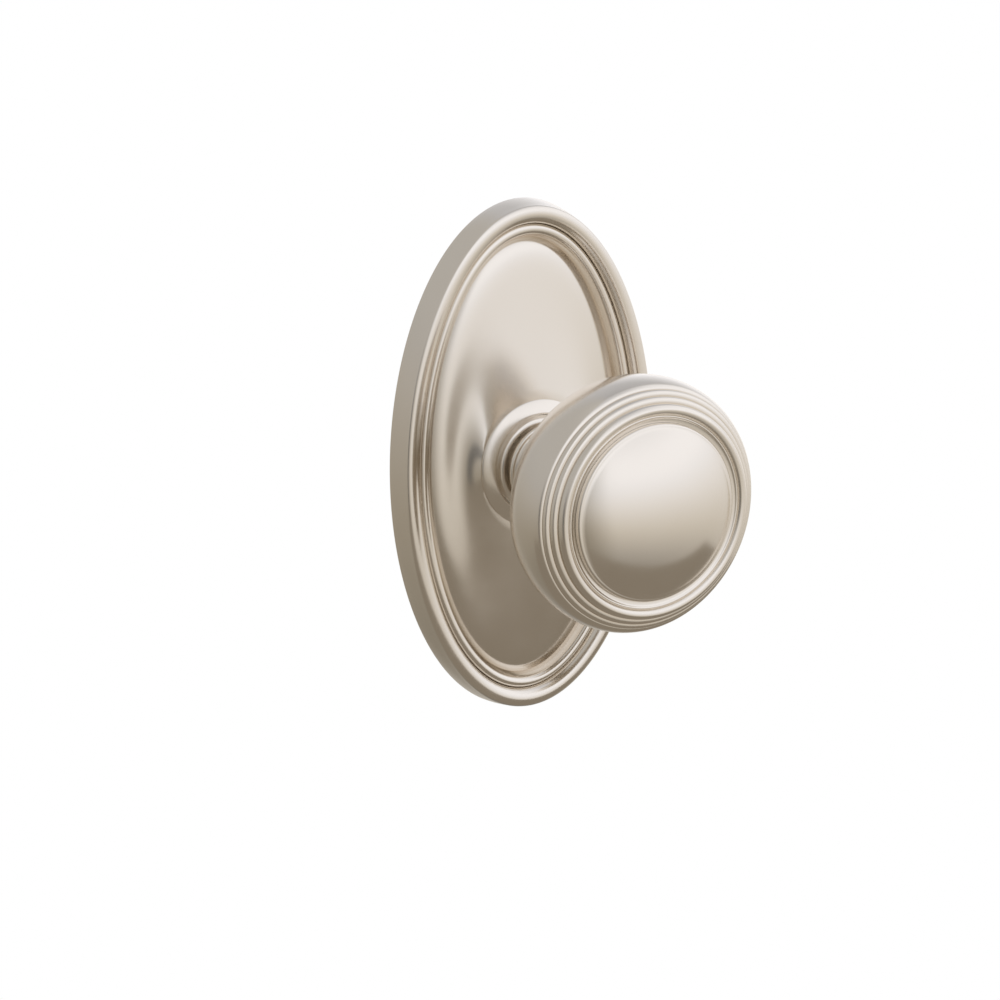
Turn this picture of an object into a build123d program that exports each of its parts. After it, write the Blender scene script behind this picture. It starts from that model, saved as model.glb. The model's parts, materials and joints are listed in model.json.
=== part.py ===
"""Reeded round door knob on an oval rose, sprung, with its door fixings: one side of a passage set.

Every piece is drawn in bench coordinates: x to the right, y up the door and h out of the door,
with h = 0 on the door's face. export() turns them into the model's frame, where +Z is up the
door and the knob points along -Y. Turned pieces are revolved from profiles of (radius, h).
"""

from build123d import *
import math
import os

# ---- driving dimensions, in millimetres ----
ROSE_HALF_WIDTH = 35.6
ROSE_HALF_HEIGHT = 63.5
ROSE_WALL = 2.2
WALL_LEAN, WALL_TOP = 0.85, 6.3  # the side wall leans in this far, and ends at this height
BEAD_CREST, BEAD_CREST_H = 2.7, 7.5  # crest of the outer bead: inset from the edge, and height
BEAD_END, QUIRK_H = 5.4, 4.8  # the valley between the two beads
FILLET_END, FILLET_H = 8.0, 6.05  # the small bead: inset of its inner foot, and height
PANEL_IN, PANEL_H = 8.9, 2.9  # where the dished panel meets the moulding
PANEL_EDGE_WALL = 0.8
PILLOW, PILLOW_POWER = 0.64, 1.9  # share of the panel's rise that flattens inward
TRUMPET_POWER = 4.5  # the rest of the rise steepens towards the collar
EVEN_SHARE, LATE_POWER = 0.28, 3.0  # the panel first narrows evenly, then turns round towards the collar
BOSS_FOOT_SHARE = 0.75  # how far in the hollow behind the panel reaches
BOSS_R, BOSS_H = 15.9, 9.8  # where the panel meets the collar
BOSS_FOOT_H = 6.0  # underside of the solid boss

COLLAR_R, COLLAR_CREST_R, COLLAR_TOP, COLLAR_MOUTH = 15.8, 12.8, 11.55, 12.3
SPIGOT_R, SPIGOT_H = 12.5, 8.3
BUSH_BORE_GAP = 0.05
BUSH_R, BUSH_TOP = 10.95, 9.6
BUSH_FOOT_R, BUSH_FOOT_H = 14.0, 4.8
THRUST_R, THRUST_TOP = 12.1, 9.95

JOURNAL_R, SHANK_END = 9.45, 2.0
GROOVE_R, GROOVE_LOW, GROOVE_HIGH = 8.9, 3.1, 4.2
SKIRT_R, SKIRT_LOW, SKIRT_HIGH = 11.9, 10.0, 10.5
COVE_R, COVE_MID_H = 9.4, 12.6
RING_FOOT_R, RING_R, RING_LOW, RING_HIGH = 10.4, 11.25, 14.7, 16.3
WAIST_R, WAIST_H = 8.9, 20.5
FLARE_R, FLARE_H = 13.4, 35.0
SOCKET_TOP = 26.0
STUD_R, STUD_TOP = 6.0, 45.0
FIT_GAP = 0.05  # radial clearance of pieces that slide together

BACK_H, BACK_FLAT_R = 36.4, 11.4
KNOB_R, KNOB_WIDEST = 30.6, 53.15
KNOB_WALL = 1.8
BOWL_POWER = 0.72  # below 1, the bowl's back is squarer than an ellipse
CREASES = [(28.5, 58.95), (27.2, 60.1), (25.75, 61.25)]  # (radius, h) between the reeds
REED_BULGE = 0.45
RIM_CREST, RIM_INNER = (24.6, 63.0), (23.15, 62.15)
STEP_CREST, STEP_INNER = (22.75, 62.35), (22.3, 62.05)  # the fine bead inside the rim
SEAT_R, SEAT_H = 21.4, 61.85  # where the rim meets the face
LEDGE_R, LEDGE_H, LEDGE_THICK = 19.5, 60.9, 1.8
FACE_R, FACE_EDGE_H, FACE_TOP = 21.3, 63.1, 69.9
FACE_WALL = 1.6
SKIRT_END_H = 56.4
SNAP_R, SNAP_LOW, SNAP_HIGH = 21.6, 57.4, 58.9

SQUARE, SPINDLE_BACK = 7.9, -34.0
CORE_WASHER_R, CORE_WASHER_THICK = 11.0, 1.5
CORE_NUT_FLATS, CORE_NUT_THICK = 19.0, 4.5
DRIVE_PIN_R, DRIVE_PIN_Y = 1.25, 9.6
GRUB_R, GRUB_H, GRUB_TIP = 2.0, 20.5, 4.0

PLATE_THICK, PLATE_WIDTH, PLATE_HEIGHT, PLATE_HOLE_R = 1.6, 50.0, 104.0, 8.0
TONGUE_WIDTH, TONGUE_END, TAB_THICK, TAB_H = 9.0, 60.6, 1.3, 4.4
ROSE_GRUB_R, ROSE_GRUB_H = 1.4, 2.6
CLIP_FOOT_Y, CLIP_LEAF, CLIP_WIDTH, RIVET_R = 52.6, 0.4, 6.0, 1.2
BOLT_Y, BOLT_NECK_R, BOLT_R, BOLT_END = 19.0, 2.3, 2.0, -38.0
BOLT_HEAD_R, BOLT_HEAD_THICK = 4.2, 2.4
WOOD_Y, WOOD_R, WOOD_TAPER, WOOD_END = 36.0, 1.6, -13.0, -16.0
WOOD_HEAD_R, WOOD_HEAD_FOOT_R = 3.2, 1.9
FIXING_NECK_END = 0.05  # where a fixing's neck or head gives way to its thread

CUP_R, CUP_WALL, CUP_BACK = 15.5, 1.3, -9.5
EAR_X, EAR_R, EAR_THICK = 19.4, 3.4, 2.0
EAR_SCREW_R, EAR_HEAD_R, EAR_HEAD_THICK = 1.4, 2.5, 1.6
COVER_LOW, COVER_HIGH = -1.0, -0.1
HUB_R, HUB_TOP = 7.4, -1.3
ARM_LOW = -2.7
FINGER_IN, FINGER_OUT, FINGER_HALF, FINGER_END = 11.2, 12.4, 12.0, -8.0
POST_IN, POST_HALF = 12.8, 12.0
TOOTH_OUT, TOOTH_HALF = 12.4, 10.0
STOP_IN, STOP_HALF = 10.8, 8.0
TURN_LIMIT, STOP_SLACK = 55.0, 0.5
UP, DOWN = 90.0, 270.0  # directions around the axis, in degrees
WIRE_R, COIL_R, COIL_PITCH, COIL_TURNS = 0.55, 9.4, 1.2, 3
COIL_BACK, LEG_ANGLE, LEG_END = -7.3, 15.5, 13.6

TO_MODEL_FRAME = Rot(90, 0, 0)


# ---- helpers ----
def export(node, *solids):
    """Writes one node's STEP in the model's frame. Several solids make a group."""
    os.makedirs("parts", exist_ok=True)
    shape = solids[0] if len(solids) == 1 else Compound(children=list(solids))
    placed = TO_MODEL_FRAME * shape
    placed.label = node
    export_step(placed, f"parts/{node}.step")


def turned(*edges, arc=360.0):
    """Revolves a closed profile of (radius, h) edges about the knob's axis."""
    return revolve(Rot(90, 0, 0) * make_face(edges), Axis.Z, revolution_arc=arc)


def block_profile(r_in, r_out, low, high):
    return Polyline((r_in, low), (r_out, low), (r_out, high), (r_in, high), close=True)


def ring(r_in, r_out, low, high):
    """A plain washer between two radii and two heights."""
    return turned(block_profile(r_in, r_out, low, high))


def sector(r_in, r_out, low, high, direction, half_angle):
    """A piece of a ring, half_angle degrees to each side of a direction."""
    return Rot(0, 0, direction - half_angle) * turned(
        block_profile(r_in, r_out, low, high), arc=2 * half_angle
    )


def rod(radius, low, high, x=0.0, y=0.0):
    """A round bar along the knob's axis."""
    return Pos(x, y, (low + high) / 2) * Cylinder(radius, high - low)


def square_bar(size, low, high):
    return Pos(0, 0, (low + high) / 2) * Box(size, size, high - low)


def hexagon_bar(across_flats, low, high):
    """A hexagonal bar, also used to cut the sockets of the grub screws."""
    outline = RegularPolygon(across_flats / math.sqrt(3), 6)
    return Pos(0, 0, low) * extrude(outline, high - low)


def polar(radius, degrees):
    angle = math.radians(degrees)
    return radius * math.cos(angle), radius * math.sin(angle)


def mix(start, end, share):
    return start + (end - start) * share


# ---- rose ----
def oval(half_width, half_height, h):
    """A section of the rose, drawn along its long axis so that every seam is at the top."""
    return Pos(0, 0, h) * Rot(0, 0, 90) * Ellipse(half_height, half_width)


def moulding_section(inset, h):
    return oval(ROSE_HALF_WIDTH - inset, ROSE_HALF_HEIGHT - inset, h)


def oval_arc(centre, half_width, half_height, start, stop, steps):
    """Points on an elliptical arc between two angles in degrees."""
    turns = [math.radians(mix(start, stop, i / steps)) for i in range(steps + 1)]
    return [
        (centre[0] + half_width * math.cos(t), centre[1] + half_height * math.sin(t))
        for t in turns
    ]


def panel_rise(share):
    """Rise of the dished panel from 0 at the moulding to 1 at the collar."""
    return PILLOW * (1 - (1 - share) ** PILLOW_POWER) + (1 - PILLOW) * share**TRUMPET_POWER


def panel_section(share, h):
    """A section of the panel: share 0 at the moulding, 1 at the collar."""
    lengthwise = mix(share**LATE_POWER, share, EVEN_SHARE)
    half_width = mix(ROSE_HALF_WIDTH - PANEL_IN, BOSS_R, share)
    half_height = mix(ROSE_HALF_HEIGHT - PANEL_IN, BOSS_R, lengthwise)
    return oval(half_width, half_height, h)


def rose_outside():
    rise = BEAD_CREST_H - WALL_TOP
    drop = BEAD_CREST_H - QUIRK_H
    fillet_half = (FILLET_END - BEAD_END) / 2
    profile = [(0.0, 0.0)]
    profile += oval_arc((BEAD_CREST, WALL_TOP), BEAD_CREST - WALL_LEAN, rise, 180, 90, 4)
    profile += oval_arc((BEAD_CREST, QUIRK_H), BEAD_END - BEAD_CREST, drop, 90, 0, 6)[1:]
    fillet_centre = (BEAD_END + fillet_half, QUIRK_H)
    profile += oval_arc(fillet_centre, fillet_half, FILLET_H - QUIRK_H, 180, 0, 8)[1:]
    sections = [moulding_section(inset, h) for inset, h in profile]
    for i in range(9):
        sections.append(panel_section(i / 8, mix(PANEL_H, BOSS_H, panel_rise(i / 8))))
    return loft(sections, ruled=True)


def rose_inside():
    """The hollow behind the rose, up to the flat foot of its boss."""
    under = QUIRK_H - 1.6
    low = PANEL_H - PANEL_EDGE_WALL
    profile = [(ROSE_WALL, -1.0), (ROSE_WALL, 5.2), (4.2, TAB_H + 0.4), (5.2, under)]
    profile += [(FILLET_END - 0.4, under), (FILLET_END + 0.3, low)]
    sections = [moulding_section(inset, h) for inset, h in profile]
    for i in range(6):
        share = BOSS_FOOT_SHARE * i / 5
        rise = panel_rise(share) / panel_rise(BOSS_FOOT_SHARE)
        sections.append(panel_section(share, mix(low, BOSS_FOOT_H, rise)))
    return loft(sections, ruled=True)


def rose():
    bore = rod(BUSH_R + FIT_GAP, 0, BOSS_H + 1)
    seat = rod(SPIGOT_R + FIT_GAP, SPIGOT_H, BOSS_H + 1)
    grub_hole = grub_place(rod(ROSE_GRUB_R + FIT_GAP, 0, 2 * ROSE_WALL))
    return rose_outside() - rose_inside() - bore - seat - grub_hole


def grub_place(shape):
    """Moves a piece drawn along +h to the rose's bottom edge, pointing up the door."""
    return Pos(0, -ROSE_HALF_HEIGHT, ROSE_GRUB_H) * Rot(-90, 0, 0) * shape


def rose_grub_screw():
    screw = rod(ROSE_GRUB_R, 0.3, ROSE_HALF_HEIGHT - TONGUE_END + TAB_THICK)
    return grub_place(screw - hexagon_bar(1.3, 0.2, 1.8))


def rose_collar():
    """A broad ring, sloped outward, with a spigot that drops into the rose's boss."""
    crest = (COLLAR_CREST_R, COLLAR_TOP)
    slope_middle = (mix(COLLAR_R, COLLAR_CREST_R, 0.5), mix(BOSS_H, COLLAR_TOP, 0.65))
    mouth = (COLLAR_MOUTH, COLLAR_TOP - 0.4)
    rest = Polyline(
        mouth,
        (COLLAR_MOUTH, BUSH_TOP),
        (BUSH_R + 2 * FIT_GAP, BUSH_TOP),
        (BUSH_R + 2 * FIT_GAP, SPIGOT_H),
        (SPIGOT_R, SPIGOT_H),
        (SPIGOT_R, BOSS_H),
        (COLLAR_R, BOSS_H),
    )
    slope = ThreePointArc((COLLAR_R, BOSS_H), slope_middle, crest)
    lip = ThreePointArc(crest, (COLLAR_MOUTH + 0.13, COLLAR_TOP - 0.1), mouth)
    return turned(slope, lip, rest)


def neck_bushing():
    bore = JOURNAL_R + BUSH_BORE_GAP
    return ring(bore, BUSH_FOOT_R, BUSH_FOOT_H, BOSS_FOOT_H) + ring(
        bore, BUSH_R, BOSS_FOOT_H, BUSH_TOP
    )


def thrust_washer():
    return ring(JOURNAL_R + BUSH_BORE_GAP, THRUST_R, BUSH_TOP, THRUST_TOP)


# ---- knob ----
def bowl(wall, steps=8):
    """(radius, h) points round the knob's back, from its flat to its widest circle."""
    points = []
    for i in range(steps + 1):
        turn = math.pi / 2 * i / steps
        radius = BACK_FLAT_R + (KNOB_R - BACK_FLAT_R - wall) * math.sin(turn) ** BOWL_POWER
        points.append((radius, KNOB_WIDEST - (KNOB_WIDEST - BACK_H - wall) * math.cos(turn)))
    return points


def shoulder(top, wall, steps=4):
    """(radius, h) points from the widest circle round to the first reed."""
    points = []
    for i in range(steps + 1):
        turn = math.pi / 2 * i / steps
        radius = top[0] + (KNOB_R - wall - top[0]) * math.cos(turn)
        points.append((radius, KNOB_WIDEST + (top[1] - KNOB_WIDEST) * math.sin(turn)))
    return points


def knob_shell():
    """Spun brass bowl, reeded at the front, with a ledge for the face and a hole for the stud."""
    hole = STUD_R + FIT_GAP
    inner_top = (27.0, 57.2)
    outline = [
        Line((hole, BACK_H), (BACK_FLAT_R, BACK_H)),
        Spline(*bowl(0.0), tangents=[(1, 0), (0, 1)]),
        Spline(*shoulder(CREASES[0], 0.0), tangents=[(0, 1), (-1, 0.2)]),
    ]
    outline += [SagittaArc(a, b, -REED_BULGE) for a, b in zip(CREASES, CREASES[1:])]
    outline += [
        ThreePointArc(CREASES[-1], RIM_CREST, RIM_INNER),
        ThreePointArc(RIM_INNER, STEP_CREST, STEP_INNER),
        Polyline(
            STEP_INNER,
            (SEAT_R, SEAT_H),
            (SEAT_R, LEDGE_H),
            (LEDGE_R, LEDGE_H),
            (LEDGE_R, LEDGE_H - LEDGE_THICK),
            (25.0, LEDGE_H - LEDGE_THICK),
            inner_top,
        ),
        Spline(*shoulder(inner_top, KNOB_WALL), tangents=[(0, 1), (-1, 0.4)]),
        Spline(*bowl(KNOB_WALL), tangents=[(1, 0), (0, 1)]),
        Polyline((BACK_FLAT_R, BACK_H + KNOB_WALL), (hole, BACK_H + KNOB_WALL), (hole, BACK_H)),
    ]
    pin_hole = rod(DRIVE_PIN_R + FIT_GAP, BACK_H - 1, BACK_H + KNOB_WALL + 1, y=DRIVE_PIN_Y)
    return turned(*outline) - pin_hole


def knob_face():
    """Domed cap with a skirt that drops through the ledge and takes the snap ring."""
    skirt_r = LEDGE_R - FIT_GAP
    corner = 0.8
    shoulder_r = FACE_R - corner
    apex = (0.0, FACE_TOP)
    drop = dome_drop(shoulder_r, FACE_TOP - FACE_EDGE_H)
    middle = (shoulder_r / 2, FACE_TOP - drop(shoulder_r / 2))
    inner_r = skirt_r - FACE_WALL
    inner_edge = (inner_r, FACE_TOP - FACE_WALL - drop(inner_r))
    inner_middle = (inner_r / 2, FACE_TOP - FACE_WALL - drop(inner_r / 2))
    outline = [
        ThreePointArc((shoulder_r, FACE_EDGE_H), middle, apex),
        Line(apex, (0.0, FACE_TOP - FACE_WALL)),
        ThreePointArc((0.0, FACE_TOP - FACE_WALL), inner_middle, inner_edge),
        Polyline(
            inner_edge,
            (inner_r, SKIRT_END_H),
            (skirt_r, SKIRT_END_H),
            (skirt_r, SNAP_LOW - FIT_GAP),
            (skirt_r - 0.8, SNAP_LOW - FIT_GAP),
            (skirt_r - 0.8, SNAP_HIGH + FIT_GAP),
            (skirt_r, SNAP_HIGH + FIT_GAP),
            (skirt_r, LEDGE_H),
            (FACE_R, LEDGE_H),
            (FACE_R, FACE_EDGE_H - corner),
        ),
        ThreePointArc(
            (FACE_R, FACE_EDGE_H - corner),
            (FACE_R - 0.3 * corner, FACE_EDGE_H - 0.3 * corner),
            (shoulder_r, FACE_EDGE_H),
        ),
    ]
    return turned(*outline)


def dome_drop(edge_r, height):
    """How far a spherical dome lies below its top, as a function of radius."""
    sphere = (edge_r**2 + height**2) / (2 * height)
    return lambda r: sphere - math.sqrt(sphere**2 - r**2)


def face_snap_ring():
    groove = LEDGE_R - FIT_GAP - 0.75
    return ring(groove, SNAP_R, SNAP_LOW, SNAP_HIGH) - sector(
        groove - 1, SNAP_R + 1, SNAP_LOW - 1, SNAP_HIGH + 1, DOWN, 12.0
    )


def knob_neck():
    """Shank: journal, skirt, cove, ring, waist and flare, with a stud that enters the shell."""
    ring_mid = (RING_LOW + RING_HIGH) / 2
    outline = [
        Polyline(
            (0.0, SHANK_END),
            (JOURNAL_R - 0.4, SHANK_END),
            (JOURNAL_R, SHANK_END + 0.4),
            (JOURNAL_R, GROOVE_LOW),
            (GROOVE_R, GROOVE_LOW),
            (GROOVE_R, GROOVE_HIGH),
            (JOURNAL_R, GROOVE_HIGH),
            (JOURNAL_R, SKIRT_LOW),
            (SKIRT_R, SKIRT_LOW),
            (SKIRT_R, SKIRT_HIGH),
        ),
        Spline((SKIRT_R, SKIRT_HIGH), (COVE_R, COVE_MID_H), (RING_FOOT_R, RING_LOW)),
        ThreePointArc((RING_FOOT_R, RING_LOW), (RING_R, ring_mid), (RING_FOOT_R, RING_HIGH)),
        Spline((RING_FOOT_R, RING_HIGH), (WAIST_R, WAIST_H), (FLARE_R, FLARE_H)),
        Polyline(
            (FLARE_R, FLARE_H),
            (FLARE_R, BACK_H),
            (STUD_R, BACK_H),
            (STUD_R, STUD_TOP),
            (0.0, STUD_TOP),
            (0.0, SHANK_END),
        ),
    ]
    socket = square_bar(SQUARE + 2 * FIT_GAP, SHANK_END - 1, SOCKET_TOP)
    pin_hole = rod(DRIVE_PIN_R + FIT_GAP, BACK_H - 2.5, BACK_H + 1, y=DRIVE_PIN_Y)
    return turned(*outline) - socket - pin_hole - spindle_grub_place(rod(GRUB_R, 0, 20))


def spindle_grub_place(shape):
    """Moves a piece drawn along +h to the neck's underside, pointing down the door."""
    return Pos(0, 0, GRUB_H) * Rot(90, 0, 0) * shape


def spindle_grub_screw():
    end = WAIST_R - 0.3
    return spindle_grub_place(rod(GRUB_R, GRUB_TIP, end) - hexagon_bar(2.0, end - 2.2, end + 1))


def core_washer():
    low = BACK_H + KNOB_WALL
    washer = ring(STUD_R + FIT_GAP, CORE_WASHER_R, low, low + CORE_WASHER_THICK)
    return washer - rod(DRIVE_PIN_R + FIT_GAP, low - 1, low + 3, y=DRIVE_PIN_Y)


def core_nut():
    low = BACK_H + KNOB_WALL + CORE_WASHER_THICK
    nut = hexagon_bar(CORE_NUT_FLATS, low, low + CORE_NUT_THICK)
    return nut - rod(STUD_R, low - 1, low + CORE_NUT_THICK + 1)


def drive_pin():
    low = BACK_H - 2.4
    return rod(DRIVE_PIN_R, low, BACK_H + KNOB_WALL + CORE_WASHER_THICK, y=DRIVE_PIN_Y)


def retaining_ring():
    """Open spring clip in the shank's groove."""
    clip_r = BUSH_R
    clip = ring(GROOVE_R + FIT_GAP, clip_r, GROOVE_LOW + FIT_GAP, GROOVE_HIGH - FIT_GAP)
    return clip - sector(GROOVE_R - 1, clip_r + 1, GROOVE_LOW - 1, GROOVE_HIGH + 1, DOWN, 20.0)


def spring_washer():
    return ring(JOURNAL_R + FIT_GAP, BUSH_FOOT_R - 1.0, GROOVE_HIGH, BUSH_FOOT_H - 0.1)


def spindle():
    bar = square_bar(SQUARE, SPINDLE_BACK, SOCKET_TOP - 0.5)
    return chamfer(bar.faces().sort_by(Axis.Z)[0].edges(), 0.8)


# ---- mounting plate and fixings ----
def wood_head(y):
    """A countersunk head, whose flat is level with the plate's front."""
    height = PLATE_THICK - FIXING_NECK_END
    return Pos(0, y, PLATE_THICK - height / 2) * Cone(WOOD_HEAD_FOOT_R, WOOD_HEAD_R, height)


def mounting_plate():
    """Steel plate with a tongue at each end. The lower tongue turns up to take the grub screw."""
    outline = SlotOverall(PLATE_HEIGHT, PLATE_WIDTH, rotation=90)
    tongue = Rectangle(TONGUE_WIDTH, 2 * TONGUE_END) - Pos(0, TONGUE_END) * Rectangle(
        2 * TONGUE_WIDTH, 4.0
    )
    plate = extrude(outline + tongue, PLATE_THICK)
    tab_y = -TONGUE_END + TAB_THICK / 2
    plate += Pos(0, tab_y, TAB_H / 2) * Box(TONGUE_WIDTH, TAB_THICK, TAB_H)
    plate -= rod(PLATE_HOLE_R, -1, PLATE_THICK + 1)
    for side in (-1, 1):
        plate -= rod(BOLT_NECK_R + FIT_GAP, -1, PLATE_THICK + 1, y=side * BOLT_Y)
        plate -= wood_head(side * WOOD_Y) + rod(WOOD_HEAD_FOOT_R, -1, 1, y=side * WOOD_Y)
        plate -= rod(EAR_SCREW_R, -1, PLATE_THICK + 1, x=side * EAR_X)
    return plate - grub_place(rod(ROSE_GRUB_R, 0, 2 * TAB_H)) - clip_rivet(FIT_GAP)


def rose_clip():
    """Spring leaf on the upper tongue, whose crown bears on the inside of the rose's wall."""
    crown_y = ROSE_HALF_HEIGHT - ROSE_WALL - 0.3
    low, leaf = PLATE_THICK, CLIP_LEAF
    path = Polyline(
        (CLIP_FOOT_Y - 3.0, low + leaf / 2),
        (CLIP_FOOT_Y + 4.6, low + leaf / 2),
        (crown_y - leaf / 2, low + 1.5),
        (crown_y - 1.6, low + 2.8),
    )
    strip = Plane.YZ * trace(path, leaf)
    return extrude(strip, CLIP_WIDTH / 2, both=True) - clip_rivet(FIT_GAP)


def clip_rivet(gap=0.0):
    """Flush rivet through the clip and the plate, or with a gap, the cutter for its holes."""
    return rod(RIVET_R + gap, -gap, PLATE_THICK + CLIP_LEAF + gap, y=CLIP_FOOT_Y)


def cross_recess(head_r, top, y):
    """The cutter for a cross-head screw's recess."""
    slot = Box(1.3 * head_r, 0.32 * head_r, 1.6) + Box(0.32 * head_r, 1.3 * head_r, 1.6)
    return Pos(0, y, top) * slot


def through_bolt(y):
    top = PLATE_THICK + BOLT_HEAD_THICK
    head = fillet(rod(BOLT_HEAD_R, PLATE_THICK, top, y=y).edges().sort_by(Axis.Z)[-1], 1.2)
    bolt = head - cross_recess(BOLT_HEAD_R, top, y)
    bolt += rod(BOLT_NECK_R, FIXING_NECK_END, PLATE_THICK, y=y)
    return bolt + rod(BOLT_R, BOLT_END, FIXING_NECK_END, y=y)


def wood_screw(y):
    screw = wood_head(y) + rod(WOOD_R, WOOD_TAPER, FIXING_NECK_END, y=y)
    point = Pos(0, y, (WOOD_TAPER + WOOD_END) / 2) * Cone(0.2, WOOD_R, WOOD_TAPER - WOOD_END)
    return screw + point - cross_recess(WOOD_HEAD_R, PLATE_THICK, y)


# ---- spring cassette ----
def cassette_cup():
    """Cast cup behind the plate. Its post anchors the spring and its two stops limit the turn."""
    inside = CUP_R - CUP_WALL
    floor = CUP_BACK + CUP_WALL
    cup = ring(inside, CUP_R, CUP_BACK, 0) + ring(HUB_R + FIT_GAP, CUP_R, CUP_BACK, floor)
    cup += sector(POST_IN, CUP_R - 0.5, CUP_BACK + 0.5, ARM_LOW, UP, POST_HALF)
    for side in (-1, 1):
        direction = DOWN + side * (TURN_LIMIT + STOP_SLACK + TOOTH_HALF + STOP_HALF)
        cup += sector(STOP_IN, CUP_R - 0.5, ARM_LOW - 0.3, HUB_TOP + 0.1, direction, STOP_HALF)
        cup += ear(side)
    return cup


def ear(side):
    web = Box(EAR_X - CUP_R + 1.0, 2 * EAR_R, EAR_THICK)
    lug = Pos(side * (EAR_X + CUP_R - 1.0) / 2, 0, -EAR_THICK / 2) * web
    return lug + rod(EAR_R, -EAR_THICK, 0, x=side * EAR_X) - rod(
        EAR_SCREW_R + FIT_GAP, -EAR_THICK - 1, 1, x=side * EAR_X
    )


def cassette_screw(side):
    head_back = -EAR_THICK - EAR_HEAD_THICK
    head = Pos(side * EAR_X, 0, 0) * (
        rod(EAR_HEAD_R, head_back, -EAR_THICK) - hexagon_bar(2.0, head_back - 1, -EAR_THICK - 0.6)
    )
    return head + rod(EAR_SCREW_R, -EAR_THICK, PLATE_THICK, x=side * EAR_X)


def cassette_cover():
    return ring(HUB_R - 1.2, CUP_R - CUP_WALL - FIT_GAP, COVER_LOW, COVER_HIGH)


def return_cam():
    """Hub on the spindle, with a finger that winds the spring and a tooth that meets the stops."""
    cam = rod(HUB_R, CUP_BACK, HUB_TOP)
    cam += sector(HUB_R - 1, FINGER_OUT, ARM_LOW, HUB_TOP, UP, FINGER_HALF)
    cam += sector(FINGER_IN, FINGER_OUT, FINGER_END, ARM_LOW, UP, FINGER_HALF)
    cam += sector(HUB_R - 1, TOOTH_OUT, ARM_LOW, HUB_TOP, DOWN, TOOTH_HALF)
    return cam - square_bar(SQUARE + 2 * FIT_GAP, CUP_BACK - 1, HUB_TOP + 1)


def return_spring():
    """Torsion spring whose legs stand on both sides of the post and the finger."""
    height = COIL_PITCH * (COIL_TURNS + 2 * LEG_ANGLE / 360)
    coil_start = UP - LEG_ANGLE
    path = Rot(0, 0, coil_start) * Pos(0, 0, COIL_BACK) * Helix(COIL_PITCH, height, COIL_R)
    section = Plane(path @ 0, z_dir=path % 0) * Circle(WIRE_R)
    spring = sweep(section, path=path, is_frenet=True)
    for direction, h in ((coil_start, COIL_BACK), (UP + LEG_ANGLE, COIL_BACK + height)):
        spring += spring_leg(direction, h)
    return spring


def spring_leg(direction, h):
    length = LEG_END - COIL_R
    x, y = polar(COIL_R + length / 2, direction)
    leg = Pos(x, y, h) * Rot(0, 0, direction) * Rot(0, 90, 0) * Cylinder(WIRE_R, length)
    corner_x, corner_y = polar(COIL_R, direction)
    return leg + Pos(corner_x, corner_y, h) * Sphere(WIRE_R)


# ---- the assembly ----
export("rose", rose())
export("rose_collar", rose_collar())
export("neck_bushing", neck_bushing())
export("thrust_washer", thrust_washer())
export("mounting_plate", mounting_plate())
export("rose_clip", rose_clip())
export("clip_rivet", clip_rivet())
export("rose_grub_screw", rose_grub_screw())
export("through_bolts", through_bolt(-BOLT_Y), through_bolt(BOLT_Y))
export("wood_screws", wood_screw(-WOOD_Y), wood_screw(WOOD_Y))
export("cassette_cup", cassette_cup())
export("cassette_cover", cassette_cover())
export("cassette_screws", cassette_screw(-1), cassette_screw(1))
export("return_spring", return_spring())

export("knob_shell", knob_shell())
export("knob_face", knob_face())
export("face_snap_ring", face_snap_ring())
export("knob_neck", knob_neck())
export("core_washer", core_washer())
export("core_nut", core_nut())
export("drive_pin", drive_pin())
export("spindle", spindle())
export("spindle_grub_screw", spindle_grub_screw())
export("retaining_ring", retaining_ring())
export("spring_washer", spring_washer())
export("return_cam", return_cam())
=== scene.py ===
"""Looks for the reeded door knob on its oval rose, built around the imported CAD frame.

The five satin nickel pieces are rebuilt as fine meshes from profiles in millimetres, in bench
coordinates: x to the right, y up the door, h out of the door. place() turns a bench point into
the frame, where +Z is up the door and the knob points along -Y. The bolts and screws get their
threads here. Every other CAD node keeps its mesh and gets its material.
"""
import json
import math

import bpy
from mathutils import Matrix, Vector


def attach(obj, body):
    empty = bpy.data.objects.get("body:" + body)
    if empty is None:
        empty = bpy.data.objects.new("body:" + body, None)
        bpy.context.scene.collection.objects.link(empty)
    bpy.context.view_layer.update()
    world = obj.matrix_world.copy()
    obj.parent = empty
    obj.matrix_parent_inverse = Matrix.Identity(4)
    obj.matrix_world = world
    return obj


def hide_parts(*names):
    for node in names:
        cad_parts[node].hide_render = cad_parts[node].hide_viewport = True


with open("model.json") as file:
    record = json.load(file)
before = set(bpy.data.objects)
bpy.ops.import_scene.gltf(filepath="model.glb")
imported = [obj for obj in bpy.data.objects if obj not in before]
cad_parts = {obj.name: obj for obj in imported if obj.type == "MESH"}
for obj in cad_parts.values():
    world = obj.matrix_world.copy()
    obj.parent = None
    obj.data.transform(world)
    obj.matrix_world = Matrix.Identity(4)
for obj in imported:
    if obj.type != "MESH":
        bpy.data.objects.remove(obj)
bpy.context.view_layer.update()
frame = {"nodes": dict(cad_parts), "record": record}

MM = 0.001
ROSE_BODY, KNOB_BODY = "rose_assembly", "knob"
RING_SEGMENTS = 256
SHARP_ANGLE = 38.0  # edges that turn more than this many degrees stay crisp

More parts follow.
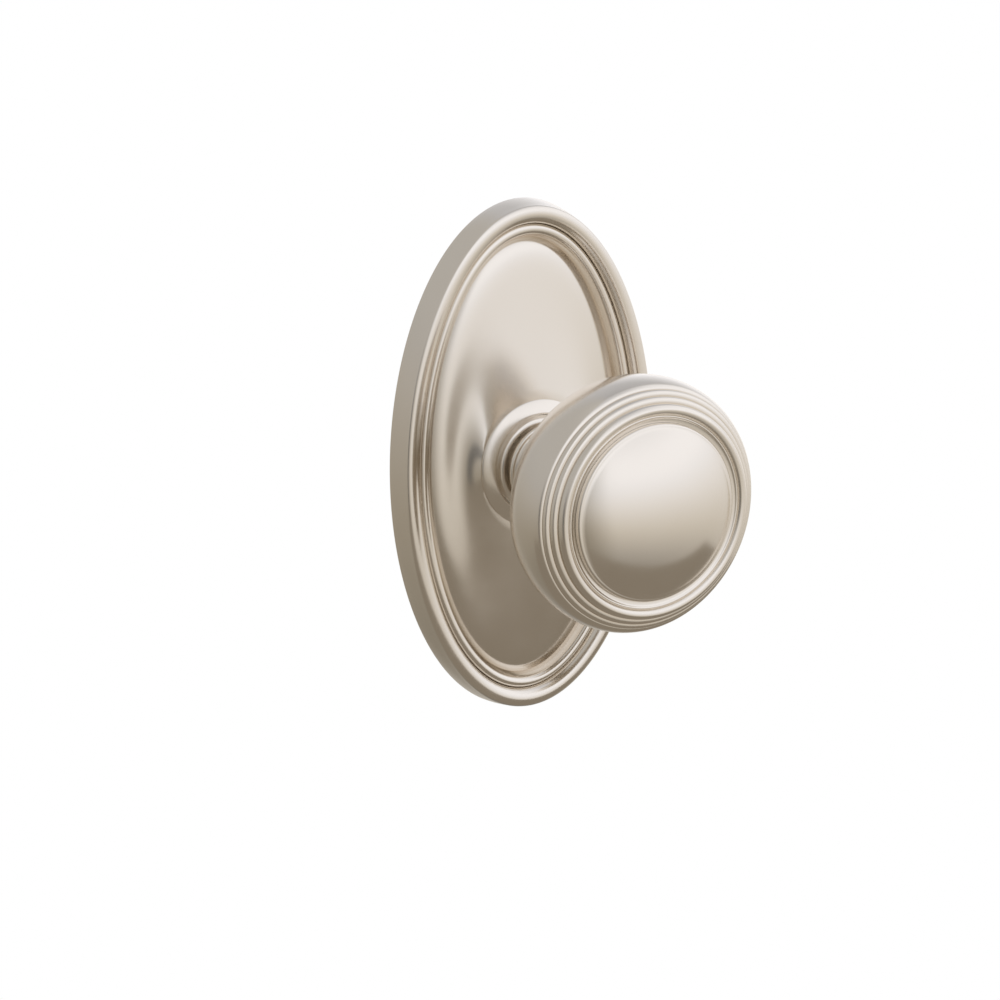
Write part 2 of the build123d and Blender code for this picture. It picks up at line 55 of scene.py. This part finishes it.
# ---- sizes, in millimetres ----
ROSE_HALF_WIDTH, ROSE_HALF_HEIGHT = 35.6, 63.5
ROSE_WALL = 2.2
BOSS_R, BOSS_H = 15.9, 9.8
DISH_IN, DISH_H = 8.9, 2.9  # crease between the moulding and the panel: inset, and height
PILLOW, PILLOW_POWER, TRUMPET_POWER = 0.36, 4.0, 3.5  # share and powers of the panel's two curves
EVEN_SHARE, LATE_POWER = 0.28, 3.0  # the panel first narrows evenly, then rounds to a circle
UNDERSIDE_DROP, BOSS_FOOT_SHARE, BOSS_FOOT_H = 0.8, 0.75, 6.0
NECK_BORE = 5.75
KNOB_R, KNOB_WIDEST = 30.6, 53.15
BACK_H, BACK_FLAT_R = 36.4, 11.4
KNOB_WALL = 1.8
BOWL_POWER = 0.72  # below 1, the bowl's back is squarer than an ellipse
CREASES = [(28.5, 58.95), (27.2, 60.1), (25.75, 61.25)]  # (radius, h) between the reeds
REED_BULGE = 0.42
FACE_R, FACE_TOP = 21.3, 69.9
ROSE_GRUB_R, ROSE_GRUB_H = 1.45, 2.6
SPINDLE_GRUB_R, SPINDLE_GRUB_H = 2.0, 20.5
BOLT_Y, WOOD_SCREW_Y = 19.0, 36.0
BOLT_THREAD = (2.0, 0.2, 0.7, -2.0, -37.6)  # shank radius, ridge height, pitch, top, bottom
WOOD_THREAD = (1.6, 0.55, 1.4, -1.6, -12.8)
THREAD_STEPS_PER_TURN = 32

# ---- camera: degrees, metres, and millimetres for the target and the lens ----
CAMERA_AZIMUTH, CAMERA_ELEVATION, CAMERA_DISTANCE = -30.6, 15.4, 1.0
CAMERA_TARGET = (-4.8, 0.0, -11.0)
LENS, SENSOR_WIDTH = 147.6, 36.0

# ---- studio: (degrees, brightness) by elevation, from straight down to straight up ----
FRONT_LIGHT = [
    (-90, 0.2), (-60, 0.27), (-40, 0.46), (-20, 0.72), (0, 0.95),
    (20, 1.14), (32, 1.14), (55, 1.0), (75, 0.7)
]
LEFT_LIGHT = [(-90, 0.25), (-40, 0.3), (-20, 0.38), (0, 0.5), (20, 0.54), (60, 0.55), (80, 0.6)]
RIGHT_LIGHT = [
    (-90, 0.2), (-50, 0.3), (-20, 0.68), (-8, 1.1), (4, 1.15), (20, 0.9), (40, 0.62), (80, 0.5)
]
FRONT_SPAN = [(-42, 0.0), (-20, 1.0), (96, 1.0), (114, 0.0)]  # where each light reaches, by azimuth
RIGHT_SPAN = [(-180, 0.5), (-165, 0.0), (100, 0.0), (116, 1.0), (170, 1.0), (180, 0.5)]
FLAG_WIDTH = [(-70, 0.0), (-62, 1.0), (-52, 1.0), (-45, 0.0)]  # the dark flag at the left, by azimuth
FLAG_HEIGHT = [(-55, 0.0), (-35, 1.0), (-5, 1.0), (15, 0.0)]
FLAG_LIGHT = 0.16
LEAN, LEAN_FROM = 10.0, -40  # degrees that the left edge of the front light moves in towards the floor
LOW_TINT, HIGH_TINT, LEFT_TINT = (1.0, 0.94, 0.85), (0.985, 1.0, 1.06), (1.0, 0.965, 0.885, 1)
FLOOR_Z = -0.16
# a dull brown card under the knob, seen only in reflections: painted dark reflection on the lower
# nickel
DARK_CARD_Y = -88
DARK_CARD_CORNERS = [(-200, 8), (150, 8), (150, 95), (-200, 190)]  # (x, h)
DARK_REFLECTION_COLOUR = (0.27, 0.235, 0.19, 1)


# ---- profiles: lists of (radius or inset, h) ----
def arc(centre, radius_x, radius_h, start, stop, steps):
    """Points on an elliptical arc between two angles in degrees."""
    points = []
    for i in range(steps + 1):
        angle = math.radians(start + (stop - start) * i / steps)
        points.append((centre[0] + radius_x * math.cos(angle), centre[1] + radius_h * math.sin(angle)))
    return points


def curve_through(points, steps=8):
    """A smooth Catmull-Rom curve through a few points."""
    ends = [points[0]] + list(points) + [points[-1]]
    smooth = []
    for a, b, c, d in zip(ends, ends[1:], ends[2:], ends[3:]):
        for i in range(steps):
            t = i / steps
            smooth.append(tuple(catmull_rom(a[k], b[k], c[k], d[k], t) for k in (0, 1)))
    return smooth + [points[-1]]


def catmull_rom(a, b, c, d, t):
    linear = (c - a) * t
    square = (2 * a - 5 * b + 4 * c - d) * t * t
    cube = (3 * b - a - 3 * c + d) * t * t * t
    return b + 0.5 * (linear + square + cube)


def eased(points, radius, steps=3):
    """Rounds every inner corner of an open profile by a small radius."""
    result = [points[0]]
    for before, corner, after in zip(points, points[1:], points[2:]):
        into = Vector(before) - Vector(corner)
        out = Vector(after) - Vector(corner)
        reach = min(radius, 0.45 * into.length, 0.45 * out.length)
        start = Vector(corner) + into.normalized() * reach
        stop = Vector(corner) + out.normalized() * reach
        for i in range(steps + 1):
            t = i / steps
            point = start * (1 - t) ** 2 + Vector(corner) * 2 * t * (1 - t) + stop * t * t
            result.append(tuple(point))
    return result + [points[-1]]


def half_round(start, end, foot, crest, steps=14):
    """A bead between two insets, with its foot and crest heights."""
    middle, half = (start + end) / 2, (end - start) / 2
    return arc((middle, foot), half, crest - foot, 180, 0, steps)


# ---- mesh making ----
def place(x, y, h):
    return Vector((x * MM, -h * MM, y * MM))


def ring_points(half_width, half_height, h, segments):
    turns = [2 * math.pi * i / segments for i in range(segments)]
    return [place(half_width * math.cos(t), half_height * math.sin(t), h) for t in turns]


def mesh_object(name, verts, faces):
    mesh = bpy.data.meshes.new(name)
    mesh.from_pydata([tuple(v) for v in verts], [], faces)
    mesh.validate()
    mesh.polygons.foreach_set("use_smooth", [True] * len(mesh.polygons))
    mesh.set_sharp_from_angle(angle=math.radians(SHARP_ANGLE))
    piece = bpy.data.objects.new(name, mesh)
    bpy.context.scene.collection.objects.link(piece)
    return piece


def skin_rings(name, rings, closed):
    """Joins rings of equal length. A ring of one point is a pole."""
    verts, starts = [], []
    for points in rings:
        starts.append(len(verts))
        verts += points
    pairs = list(zip(range(len(rings)), range(1, len(rings))))
    if closed:
        pairs.append((len(rings) - 1, 0))
    faces = []
    for low, high in pairs:
        faces += band(starts[low], len(rings[low]), starts[high], len(rings[high]))
    piece = mesh_object(name, verts, faces)
    outward(piece)
    return piece


def band(low, low_count, high, high_count):
    """The faces between two rings, or between a ring and a pole."""
    count = max(low_count, high_count)
    faces = []
    for i in range(count):
        j = (i + 1) % count
        if low_count == 1:
            faces.append((low, high + j, high + i))
        elif high_count == 1:
            faces.append((low + i, low + j, high))
        else:
            faces.append((low + i, low + j, high + j, high + i))
    return faces


def outward(piece):
    """Turns the faces outward if the mesh's signed volume is negative."""
    mesh = piece.data
    volume = 0.0
    for face in mesh.polygons:
        corners = [mesh.vertices[i].co for i in face.vertices]
        for b, c in zip(corners[1:], corners[2:]):
            volume += corners[0].dot(b.cross(c))
    if volume < 0:
        mesh.flip_normals()


def turned(name, profile, segments=RING_SEGMENTS):
    """Revolves (radius, h) points. A profile that starts and ends on the axis has two poles."""
    rings = []
    for radius, h in profile:
        on_axis = radius < 1e-6
        rings.append([place(0, 0, h)] if on_axis else ring_points(radius, radius, h, segments))
    return skin_rings(name, rings, closed=profile[0][0] > 1e-6)


def cut_round(piece, radius, y, h, depth):
    """Cuts a round hole up into the underside of a piece, centred on a point below it."""
    bpy.ops.mesh.primitive_cylinder_add(vertices=48, radius=radius * MM, depth=depth * MM)
    cutter = bpy.context.object
    cutter.location = place(0, y, h)
    cut = piece.modifiers.new("hole", "BOOLEAN")
    cut.object, cut.operation, cut.solver = cutter, "DIFFERENCE", "EXACT"
    bpy.context.view_layer.update()
    shaped = piece.evaluated_get(bpy.context.evaluated_depsgraph_get())
    piece.data = bpy.data.meshes.new_from_object(shaped)
    piece.modifiers.clear()
    piece.data.set_sharp_from_angle(angle=math.radians(SHARP_ANGLE))
    bpy.data.objects.remove(cutter)


# ---- rose ----
def moulding_ring(inset, h):
    return ring_points(ROSE_HALF_WIDTH - inset, ROSE_HALF_HEIGHT - inset, h, RING_SEGMENTS)


def dish_ring(share, h):
    """A ring of the panel: an oval at share 0 that becomes the collar's circle at share 1."""
    lengthwise = EVEN_SHARE * share + (1 - EVEN_SHARE) * share**LATE_POWER
    half_width = ROSE_HALF_WIDTH - DISH_IN + (BOSS_R - ROSE_HALF_WIDTH + DISH_IN) * share
    half_height = ROSE_HALF_HEIGHT - DISH_IN + (BOSS_R - ROSE_HALF_HEIGHT + DISH_IN) * lengthwise
    return ring_points(half_width, half_height, h, RING_SEGMENTS)


def dish_height(share):
    """The panel leaves the moulding steeply, flattens, and turns into a trumpet at the collar."""
    pillow = 1 - (1 - share) ** PILLOW_POWER
    trumpet = share**TRUMPET_POWER
    return DISH_H + (BOSS_H - DISH_H) * (PILLOW * pillow + (1 - PILLOW) * trumpet)


def make_rose():
    moulding = [(0.0, 0.4), (0.1, 1.5), (0.3, 3.2), (0.6, 5.0)]
    moulding += arc((2.7, 6.3), 1.85, 1.2, 180, 90, 12)
    moulding += arc((2.7, 4.8), 2.7, 2.7, 90, 0, 16)[1:]
    moulding += half_round(5.4, 8.0, 4.8, 6.05, 20)[1:]
    moulding += [(8.2, 4.25), (8.5, 3.5)]
    rings = [moulding_ring(inset, h) for inset, h in moulding]
    rings += [dish_ring(i / 36, dish_height(i / 36)) for i in range(37)]
    bore = [(BOSS_R - 0.2, BOSS_H), (11.2, BOSS_H), (11.0, BOSS_H - 0.2), (11.0, 6.2), (11.2, 6.0)]
    rings += [ring_points(radius, radius, h, RING_SEGMENTS) for radius, h in bore]
    under_shares = [BOSS_FOOT_SHARE * (1 - i / 12) for i in range(13)]
    for share in under_shares:
        rings.append(dish_ring(share, min(BOSS_FOOT_H, dish_height(share) - UNDERSIDE_DROP)))
    inside = [(8.3, 1.7), (7.6, 3.0), (5.4, 3.1), (4.2, 4.8), (ROSE_WALL + 0.2, 5.2), (ROSE_WALL, 5.0)]
    inside += [(ROSE_WALL, 0.2), (ROSE_WALL - 0.2, 0.0), (0.25, 0.0), (0.07, 0.07), (0.0, 0.25)]
    rings += [moulding_ring(inset, h) for inset, h in inside]
    rose = skin_rings("rose_visual", rings, closed=True)
    cut_round(rose, ROSE_GRUB_R, -ROSE_HALF_HEIGHT + ROSE_WALL, ROSE_GRUB_H, 2 * ROSE_WALL)
    return rose


def make_collar():
    """A broad ring that slopes outward from its crest beside the neck."""
    slope = [(15.8, 9.75), (15.65, 10.05), (15.0, 10.5), (13.9, 11.1)]
    crest = [(12.9, 11.55), (12.5, 11.55), (12.3, 11.2)]
    top = curve_through(slope + crest, 5)
    rest = [(12.3, 9.7), (12.2, 9.6), (11.3, 9.6), (11.1, 9.4), (11.1, 8.4), (12.4, 8.3)]
    rest += [(12.5, 9.7), (15.6, 9.7)]
    return turned("rose_collar_visual", top + rest)


# ---- knob ----
def bowl(wall, steps):
    points = []
    for i in range(steps + 1):
        turn = math.pi / 2 * (i / steps) ** 1.5
        radius = BACK_FLAT_R + (KNOB_R - BACK_FLAT_R - wall) * math.sin(turn) ** BOWL_POWER
        points.append((radius, KNOB_WIDEST - (KNOB_WIDEST - BACK_H - wall) * math.cos(turn)))
    return points


def reed(start, end, bulge, steps=8):
    """A shallow round between two creases."""
    along = Vector(end) - Vector(start)
    normal = Vector((-along.y, along.x)).normalized()
    if normal.y < 0:
        normal = -normal
    points = []
    for i in range(steps + 1):
        t = i / steps
        points.append(tuple(Vector(start) + along * t + normal * bulge * 4 * t * (1 - t)))
    return points


def make_shell():
    first, middle, last = CREASES
    outside = [(6.1, BACK_H), (9.0, BACK_H)]
    outside += bowl(0.0, 40)
    outside += arc((first[0], KNOB_WIDEST), KNOB_R - first[0], first[1] - KNOB_WIDEST, 0, 88, 18)[1:]
    outside += reed(first, middle, REED_BULGE)
    outside += reed(middle, last, REED_BULGE)[1:]
    outside += curve_through(
        [last, (25.5, 62.2), (24.7, 62.95), (23.9, 62.9), (23.4, 62.55), (23.15, 62.15)], 5
    )[1:]
    fine_step = [(23.1, 62.15), (22.9, 62.32), (22.65, 62.3), (22.2, 62.0), (21.36, 61.85)]
    outside += curve_through(fine_step, 4)
    outside += eased([(21.36, 61.85), (21.34, 60.9), (19.5, 60.9), (19.5, 59.1), (24.8, 59.1)], 0.1)[1:]
    inside = [(26.6, 57.8)] + arc((26.6, KNOB_WIDEST), 2.2, 4.0, 80, 5, 8)
    inside += list(reversed(bowl(KNOB_WALL, 20)))
    inside += [(6.1, BACK_H + KNOB_WALL)]
    return turned("knob_shell_visual", outside + inside)


def make_face():
    shoulder_r, edge_h = FACE_R - 0.9, 63.15
    rise = FACE_TOP - edge_h
    sphere = (shoulder_r**2 + rise**2) / (2 * rise)
    dome = []
    for i in range(31):
        radius = shoulder_r * i / 30
        dome.append((radius, FACE_TOP - sphere + math.sqrt(sphere**2 - radius**2)))
    lip = curve_through([dome[-1], (FACE_R - 0.35, 62.95), (FACE_R, 62.4), (FACE_R, 61.0)], 5)[1:]
    skirt = [(FACE_R - 0.1, 60.95), (19.4, 60.95), (19.4, 58.95), (18.7, 58.95), (18.7, 57.35)]
    skirt += [(19.4, 57.35), (19.4, 56.5), (17.9, 56.4), (17.85, 62.4)]
    inner = [(radius, h - 1.6) for radius, h in reversed(dome) if radius < 17.6]
    return turned("knob_face_visual", dome + lip + skirt + inner)


def make_neck():
    outline = [(NECK_BORE, 2.0), (9.1, 2.0), (9.45, 2.4), (9.45, 3.1), (8.9, 3.12), (8.9, 4.18)]
    outline += [(9.45, 4.2), (9.45, 9.95), (11.85, 9.98)]
    cove = [(11.9, 10.1), (10.9, 10.25), (10.1, 10.8), (9.75, 11.8), (9.65, 13.0), (10.3, 14.6)]
    outline += curve_through(cove)
    outline += arc((10.35, 15.5), 0.9, 0.75, -80, 80, 12)
    outline += curve_through(
        [(10.3, 16.35), (9.4, 17.6), (8.9, 20.5), (9.2, 24.5), (10.3, 29.0), (12.0, 33.0), (13.0, 34.8)]
    )
    outline += eased([(13.2, 35.0), (13.4, 35.3), (13.4, 36.4), (6.0, 36.4), (6.0, 45.0)], 0.15)
    outline += [(NECK_BORE, 45.0)]
    neck = turned("knob_neck_visual", outline)
    cut_round(neck, SPINDLE_GRUB_R, -8.0, SPINDLE_GRUB_H, 8.0)
    return neck


# ---- threads ----
def thread(name, y, form):
    """A ridge wound round a plain shank: shank radius, ridge height, pitch, top and bottom."""
    shank, ridge, pitch, top, bottom = form
    steps = int((top - bottom) / pitch * THREAD_STEPS_PER_TURN)
    rings = []
    for i in range(steps + 1):
        h = top + (bottom - top) * i / steps
        rise = ridge * min(1.0, 6 * i / steps, 6 * (steps - i) / steps)
        turn = 2 * math.pi * i / THREAD_STEPS_PER_TURN
        foot, crest = shank - 0.15, shank + rise
        section = ((foot, -0.32), (crest, -0.05), (crest, 0.05), (foot, 0.32))
        ring = []
        for radius, along in section:
            ring.append(place(radius * math.cos(turn), y + radius * math.sin(turn), h + along * pitch))
        rings.append(ring)
    rings = [[middle_of(rings[0])]] + rings + [[middle_of(rings[-1])]]
    return skin_rings(name, rings, closed=False)


def middle_of(points):
    return sum(points, Vector()) / len(points)


# ---- camera, light and stage ----
def make_camera():
    """The photograph's viewing angle: 31 degrees from the left, 15 degrees from above."""
    azimuth, elevation = math.radians(CAMERA_AZIMUTH), math.radians(CAMERA_ELEVATION)
    towards = Vector(
        (
            math.sin(azimuth) * math.cos(elevation),
            -math.cos(azimuth) * math.cos(elevation),
            math.sin(elevation),
        )
    )
    data = bpy.data.cameras.new("camera")
    data.lens = LENS
    data.sensor_width = SENSOR_WIDTH
    data.clip_end = 50.0
    camera = bpy.data.objects.new("camera", data)
    camera.location = Vector(CAMERA_TARGET) * MM + towards * CAMERA_DISTANCE
    camera.rotation_euler = towards.to_track_quat("Z", "Y").to_euler()
    bpy.context.scene.collection.objects.link(camera)
    bpy.context.scene.camera = camera


class Nodes:
    """Short names for building a node tree."""

    def __init__(self, tree):
        self.tree = tree
        tree.nodes.clear()

    def add(self, kind, settings=None, **inputs):
        node = self.tree.nodes.new(kind)
        for name, value in (settings or {}).items():
            setattr(node, name, value)
        for name, value in inputs.items():
            by_number = name[1:].isdigit()
            socket = node.inputs[int(name[1:]) if by_number else name.replace("_", " ")]
            if isinstance(value, bpy.types.NodeSocket):
                self.tree.links.new(value, socket)
            else:
                socket.default_value = value
        return node

    def math(self, operation, a, b=0.0):
        return self.add("ShaderNodeMath", {"operation": operation}, _0=a, _1=b).outputs[0]

    def map_range(self, value, low, high, to_low=0.0, to_high=1.0):
        node = self.add("ShaderNodeMapRange", _0=value, _1=low, _2=high, _3=to_low, _4=to_high)
        return node.outputs[0]

    def mix(self, fac, first, second):
        """A colour between two, by a factor."""
        return self.add("ShaderNodeMix", {"data_type": "RGBA"}, _0=fac, _6=first, _7=second).outputs[2]

    def multiply(self, first, second):
        settings = {"data_type": "RGBA", "blend_type": "MULTIPLY"}
        return self.add("ShaderNodeMix", settings, _0=1.0, _6=first, _7=second).outputs[2]

    def noise(self, where, scale, detail):
        node = self.add("ShaderNodeTexNoise", Vector=where, Scale=scale, Detail=detail)
        return node.outputs[0]

    def ramp(self, fac, stops):
        """A colour ramp from (position, brightness or colour) stops."""
        node = self.add("ShaderNodeValToRGB", _0=fac)
        elements = node.color_ramp.elements
        while len(elements) < len(stops):
            elements.new(0.5)
        for element, (position, value) in zip(elements, stops):
            element.position = position
            element.color = (*value, 1) if isinstance(value, tuple) else (value, value, value, 1)
        return node.outputs[0]


def band_ramp(n, fac, low, high, stops):
    """Brightness along an angle in degrees, from (degrees, brightness) stops."""
    share = n.map_range(fac, low, high)
    return n.ramp(share, [((angle - low) / (high - low), value) for angle, value in stops])


def make_world():
    """The studio seen in reflections, by azimuth (0 in front, + to the right) and elevation."""
    world = bpy.data.worlds.new("studio")
    world.use_nodes = True
    bpy.context.scene.world = world
    n = Nodes(world.node_tree)
    view = n.add("ShaderNodeTexCoord").outputs["Generated"]
    direction = n.add("ShaderNodeSeparateXYZ", _0=view).outputs
    ahead = n.math("MULTIPLY", direction["Y"], -1.0)
    azimuth = n.math("DEGREES", n.math("ARCTAN2", direction["X"], ahead))
    elevation = n.math("DEGREES", n.math("ARCSINE", direction["Z"]))
    leaning = n.math("ADD", azimuth, n.map_range(elevation, LEAN_FROM, 0, -LEAN, 0))
    front = band_ramp(n, elevation, -90, 90, FRONT_LIGHT)
    left = band_ramp(n, elevation, -90, 90, LEFT_LIGHT)
    right = band_ramp(n, elevation, -90, 90, RIGHT_LIGHT)
    in_front = band_ramp(n, leaning, -180, 180, FRONT_SPAN)
    at_right = band_ramp(n, azimuth, -180, 180, RIGHT_SPAN)
    light = n.mix(at_right, n.mix(in_front, n.multiply(left, LEFT_TINT), front), right)
    flag_across = band_ramp(n, leaning, -180, 180, FLAG_WIDTH)
    flag_up = band_ramp(n, elevation, -90, 90, FLAG_HEIGHT)
    flag = n.math("MULTIPLY", flag_across, flag_up)
    light = n.mix(flag, light, (FLAG_LIGHT, FLAG_LIGHT, FLAG_LIGHT, 1))
    tint = n.ramp(n.map_range(elevation, -90, 90), [(0.38, LOW_TINT), (0.56, HIGH_TINT)])
    background = n.add("ShaderNodeBackground", _0=n.multiply(light, tint), _1=1.0)
    white = n.add("ShaderNodeBackground", _0=(1, 1, 1, 1), _1=1.0)
    seen = n.add("ShaderNodeLightPath").outputs["Is Camera Ray"]
    mixed = n.add("ShaderNodeMixShader", _0=seen, _1=background.outputs[0], _2=white.outputs[0])
    n.add("ShaderNodeOutputWorld", _0=mixed.outputs[0])


def sheet(name, corners, colour, seen_by_camera):
    """A plain glowing sheet of the studio."""
    piece = mesh_object(name, corners, [(0, 1, 2, 3)])
    material, n = new_material(name)
    glow = n.add("ShaderNodeEmission", Color=colour, Strength=1.0)
    n.add("ShaderNodeOutputMaterial", _0=glow.outputs[0])
    piece.data.materials.append(material)
    piece.visible_camera = seen_by_camera
    piece.visible_glossy = not seen_by_camera
    piece.visible_diffuse = False
    piece.visible_shadow = False


def new_material(name):
    material = bpy.data.materials.new(name)
    material.use_nodes = True
    return material, Nodes(material.node_tree)


def make_stage():
    """A white floor, and a dull brown glowing card under the knob that only reflections see: a painted
    dark reflection.
    """
    floor = [Vector((x, y, FLOOR_Z)) for x, y in ((-4, -4), (4, -4), (4, 4), (-4, 4))]
    dark_reflection_card = [place(x, DARK_CARD_Y, h) for x, h in DARK_CARD_CORNERS]
    sheet("floor", floor, (1, 1, 1, 1), True)
    # painted dark reflection: a glowing brown card hidden from the camera, diffuse rays and shadows
    sheet("dark_reflection_card", dark_reflection_card, DARK_REFLECTION_COLOUR, False)


make_camera()
make_world()
make_stage()
bpy.context.scene.view_settings.view_transform = "Standard"


def nickel():
    """Satin nickel plate: fine grain, slightly uneven sheen, and painted warm shade in the creases."""
    material, n = new_material("satin_nickel")
    where = n.add("ShaderNodeTexCoord").outputs["Object"]
    uneven = n.noise(where, 90.0, 3.0)
    fine = n.noise(where, 5200.0, 2.0)
    # painted shade: where pointiness is low (the creases) the colour is mixed towards a dark warm brown
    crease_shade = n.math("LESS_THAN", n.add("ShaderNodeNewGeometry").outputs["Pointiness"], 0.47)
    colour = n.mix(uneven, (0.775, 0.72, 0.645, 1), (0.805, 0.752, 0.68, 1))
    colour = n.mix(n.math("MULTIPLY", crease_shade, 0.35), colour, (0.6, 0.5, 0.38, 1))
    rough = n.map_range(uneven, 0.3, 0.7, 0.17, 0.23)
    bump = n.add("ShaderNodeBump", Strength=0.05, Distance=0.00003, Height=fine)
    shader = n.add(
        "ShaderNodeBsdfPrincipled",
        Metallic=1.0,
        Base_Color=colour,
        Roughness=rough,
        Normal=bump.outputs[0],
    )
    n.add("ShaderNodeOutputMaterial", _0=shader.outputs[0])
    return material


def metal(name, dark, light, spread, rough, grain, bump_height):
    """A plain metal: mottled colour, uneven sheen and a fine raised grain."""
    material, n = new_material(name)
    where = n.add("ShaderNodeTexCoord").outputs["Object"]
    mottle = n.noise(where, spread, 5.0)
    fine = n.noise(where, grain, 3.0)
    colour = n.mix(n.map_range(mottle, 0.35, 0.65), dark, light)
    roughness = n.map_range(n.math("ADD", mottle, fine), 0.7, 1.3, rough - 0.08, rough + 0.1)
    bump = n.add("ShaderNodeBump", Strength=0.35, Distance=bump_height, Height=fine)
    shader = n.add(
        "ShaderNodeBsdfPrincipled",
        Metallic=1.0,
        Base_Color=colour,
        Roughness=roughness,
        Normal=bump.outputs[0],
    )
    n.add("ShaderNodeOutputMaterial", _0=shader.outputs[0])
    return material


def zinc_steel():
    dark, light = (0.42, 0.44, 0.46, 1), (0.66, 0.68, 0.7, 1)
    return metal("zinc_steel", dark, light, 260.0, 0.34, 2600.0, 0.00002)


def spring_steel():
    dark, light = (0.1, 0.11, 0.15, 1), (0.2, 0.19, 0.21, 1)
    return metal("spring_steel", dark, light, 180.0, 0.3, 3200.0, 0.00001)


def black_steel():
    dark, light = (0.03, 0.03, 0.035, 1), (0.08, 0.075, 0.07, 1)
    return metal("black_steel", dark, light, 320.0, 0.42, 2200.0, 0.00002)


def cast_zinc():
    dark, light = (0.33, 0.34, 0.35, 1), (0.52, 0.53, 0.54, 1)
    return metal("cast_zinc", dark, light, 150.0, 0.5, 1500.0, 0.00006)


def nylon():
    """Natural acetal: creamy, slightly waxy, with a faint moulded grain."""
    material, n = new_material("nylon")
    where = n.add("ShaderNodeTexCoord").outputs["Object"]
    cloud, fine = n.noise(where, 220.0, 3.0), n.noise(where, 2400.0, 2.0)
    colour = n.mix(cloud, (0.74, 0.71, 0.63, 1), (0.86, 0.84, 0.78, 1))
    roughness = n.map_range(fine, 0.3, 0.7, 0.38, 0.5)
    bump = n.add("ShaderNodeBump", Strength=0.2, Distance=0.00002, Height=fine)
    shader = n.add(
        "ShaderNodeBsdfPrincipled",
        Base_Color=colour,
        Roughness=roughness,
        Normal=bump.outputs[0],
    )
    n.add("ShaderNodeOutputMaterial", _0=shader.outputs[0])
    return material


# ---- the assembly ----
def wear(piece, body, material):
    """Gives a new piece its material and lets it ride on a body."""
    piece.data.materials.append(material)
    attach(piece, body)


NICKEL, ZINC = nickel(), zinc_steel()
SLOT_MATERIALS = {
    "satin_nickel": NICKEL,
    "zinc_steel": ZINC,
    "spring_steel": spring_steel(),
    "black_steel": black_steel(),
    "cast_zinc": cast_zinc(),
    "nylon": nylon(),
}
for part in frame["record"]["subparts"]:
    node_mesh = frame["nodes"][part["node"]].data
    node_mesh.materials.clear()
    node_mesh.materials.append(SLOT_MATERIALS[part["material_slot"]])
for make, node, body in (
    (make_rose, "rose", ROSE_BODY),
    (make_collar, "rose_collar", ROSE_BODY),
    (make_shell, "knob_shell", KNOB_BODY),
    (make_face, "knob_face", KNOB_BODY),
    (make_neck, "knob_neck", KNOB_BODY),
):
    piece = make()
    wear(piece, body, NICKEL)
    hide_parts(node)
for side, place_name in ((-1, "lower"), (1, "upper")):
    bolt = thread(f"bolt_thread_{place_name}", side * BOLT_Y, BOLT_THREAD)
    screw = thread(f"wood_thread_{place_name}", side * WOOD_SCREW_Y, WOOD_THREAD)
    wear(bolt, ROSE_BODY, ZINC)
    wear(screw, ROSE_BODY, ZINC)
